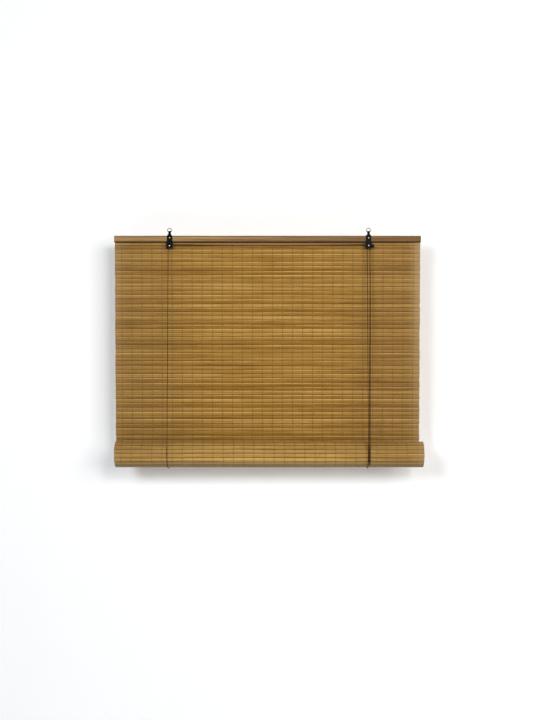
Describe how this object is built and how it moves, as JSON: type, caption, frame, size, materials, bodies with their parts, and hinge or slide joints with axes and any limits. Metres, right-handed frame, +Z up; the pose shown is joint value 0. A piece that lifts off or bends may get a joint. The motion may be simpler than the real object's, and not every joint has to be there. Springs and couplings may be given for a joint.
{
  "type": "roll-up bamboo blind",
  "caption": "Bamboo blind: woven slat mat hung from a two-batten headrail, rolled up at the bottom in cord slings, with pulley and lock brackets and hanging rings.",
  "frame": {"origin": "middle of the headrail's rear face, which lies against the wall", "axes": "X along the headrail to the right as seen from the room, Y back into the wall, Z up"},
  "size_m": [0.905, 0.0906, 0.704],
  "materials": {
    "bamboo_slat": "golden-brown bamboo, satin, some slats paler",
    "bamboo_roll": "back of the bamboo mat, paler, satin",
    "warp_thread": "brown cotton thread",
    "batten": "brown stained wood, satin",
    "rod": "plain wood",
    "black_steel": "black painted sheet steel",
    "bright_steel": "zinc-plated heads",
    "ring_wire": "grey steel wire",
    "nail": "plain steel",
    "cord": "dark brown braided cord"
  },
  "bodies": {
    "headrail": {"front_batten": "batten", "rear_batten": "batten", "batten_nails": "nail", "slat_mat": "bamboo_slat", "warp_threads": "warp_thread", "left_bracket": "black_steel", "left_cover": "black_steel", "left_rivet": "bright_steel", "left_screw": "bright_steel", "lock_bracket": "black_steel", "lock_cover": "black_steel", "lock_rivet": "bright_steel", "lock_screw": "bright_steel", "cam_pin": "black_steel", "left_back_strand": "cord", "right_back_strand": "cord", "left_front_strand": "cord", "right_front_strand": "cord", "cross_cord": "cord", "lock_cord": "cord", "pull_cord_inner": "cord", "pull_cord_outer": "cord"},
    "cord_slings": {"left_sling": "cord", "right_sling": "cord", "pull_tails": "cord", "pull_knot": "cord"},
    "roll": {"mat_roll": "bamboo_roll", "roll_threads": "warp_thread", "bottom_rod": "rod"},
    "left_pulley": {"left_pulley": "black_steel"},
    "lock_roller": {"lock_roller": "black_steel"},
    "lock_cam": {"lock_cam": "black_steel"},
    "left_ring": {"left_ring": "ring_wire"},
    "right_ring": {"right_ring": "ring_wire"}
  },
  "joints": [
    {"name": "roll_lift", "type": "slide", "parent": "headrail", "child": "cord_slings", "axis": [0, 0, 1], "range_m": [0, 0.486], "deforming": ["slat_mat", "warp_threads", "left_back_strand", "right_back_strand", "left_front_strand", "right_front_strand", "pull_cord_inner", "pull_cord_outer"]},
    {"name": "roll_spin", "type": "hinge", "parent": "cord_slings", "child": "roll", "pos_m": [0.005, -0.04638, -0.63], "axis": [1, 0, 0], "range_deg": [-720, 0]},
    {"name": "left_pulley_spin", "type": "hinge", "parent": "headrail", "child": "left_pulley", "pos_m": [-0.287, -0.0244, -0.0205], "axis": [0, 1, 0], "range_deg": [0, 13930]},
    {"name": "lock_roller_spin", "type": "hinge", "parent": "headrail", "child": "lock_roller", "pos_m": [0.296, -0.0261, -0.0205], "axis": [0, 1, 0], "range_deg": [0, 13930]},
    {"name": "lock_cam_swing", "type": "hinge", "parent": "headrail", "child": "lock_cam", "pos_m": [0.3075, -0.0261, -0.022], "axis": [0, 1, 0], "range_deg": [-40, 0]},
    {"name": "left_ring_swing", "type": "hinge", "parent": "headrail", "child": "left_ring", "pos_m": [-0.287, -0.021, 0.0195], "axis": [1, 0, 0], "range_deg": [-70, 70]},
    {"name": "right_ring_swing", "type": "hinge", "parent": "headrail", "child": "right_ring", "pos_m": [0.296, -0.021, 0.0195], "axis": [1, 0, 0], "range_deg": [-70, 70]}
  ],
  "couplings": [
    {"joint": "roll_spin", "follows": "roll_lift", "rad_per_m": -25.854},
    {"joint": "left_pulley_spin", "follows": "roll_lift", "rad_per_m": 500},
    {"joint": "lock_roller_spin", "follows": "roll_lift", "rad_per_m": 500}
  ]
}
